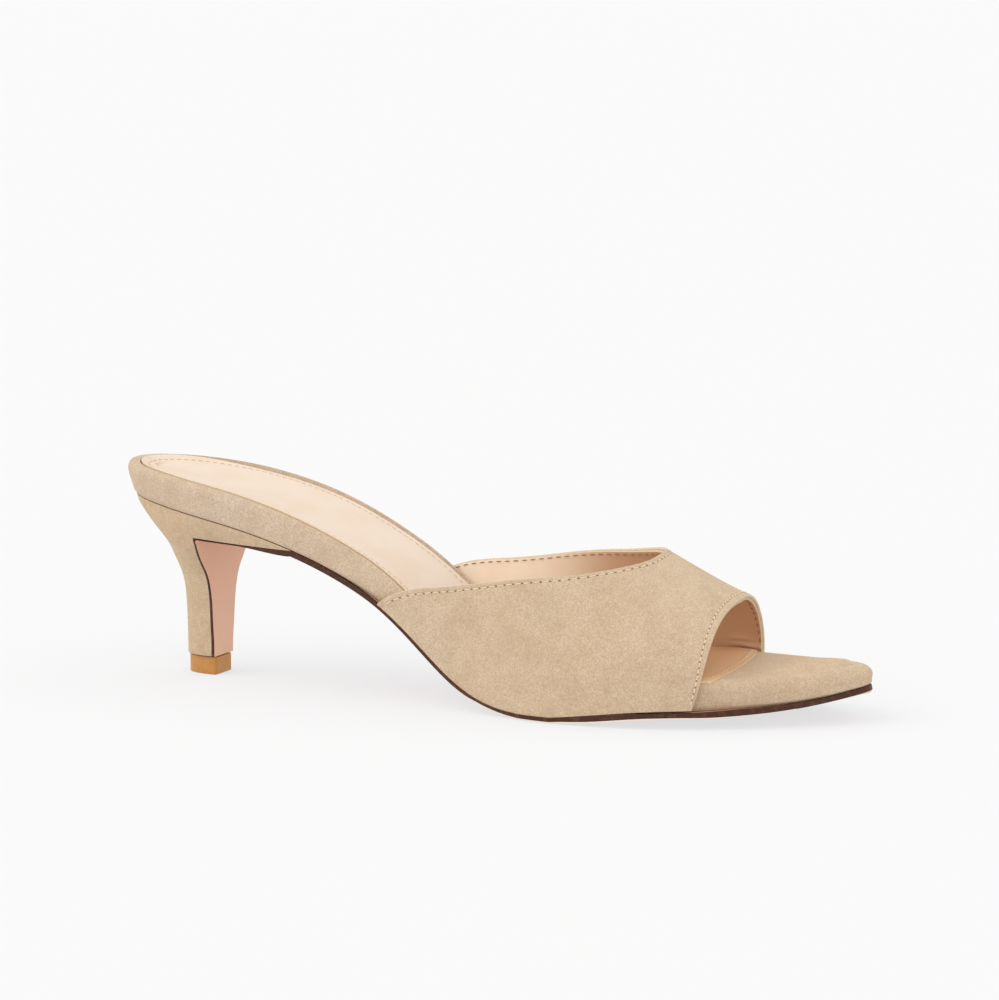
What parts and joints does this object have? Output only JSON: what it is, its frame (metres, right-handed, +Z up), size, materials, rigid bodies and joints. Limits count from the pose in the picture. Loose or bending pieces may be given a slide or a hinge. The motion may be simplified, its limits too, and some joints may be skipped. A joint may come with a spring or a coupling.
{
  "type": "peep toe mule",
  "caption": "Backless suede shoe with a broad open-toed vamp, a wrapped footbed, a leather sock and a slim low heel.",
  "frame": {"origin": "on the floor, under the middle of the shoe's box", "axes": "+X from the heel to the toe, +Y to the medial side, +Z up"},
  "size_m": [0.2394, 0.0716, 0.0658],
  "materials": {
    "suede": "napped beige suede",
    "sole_leather": "smooth nude leather, edge painted dark brown",
    "sock_leather": "smooth pale peach lining leather",
    "heel_tip": "satin amber brown hard plastic"
  },
  "bodies": {
    "root": {"outsole": "sole_leather", "heel_block": "suede", "top_lift": "heel_tip", "footbed": "suede", "insole_sock": "sock_leather", "vamp": "suede"}
  },
  "joints": []
}
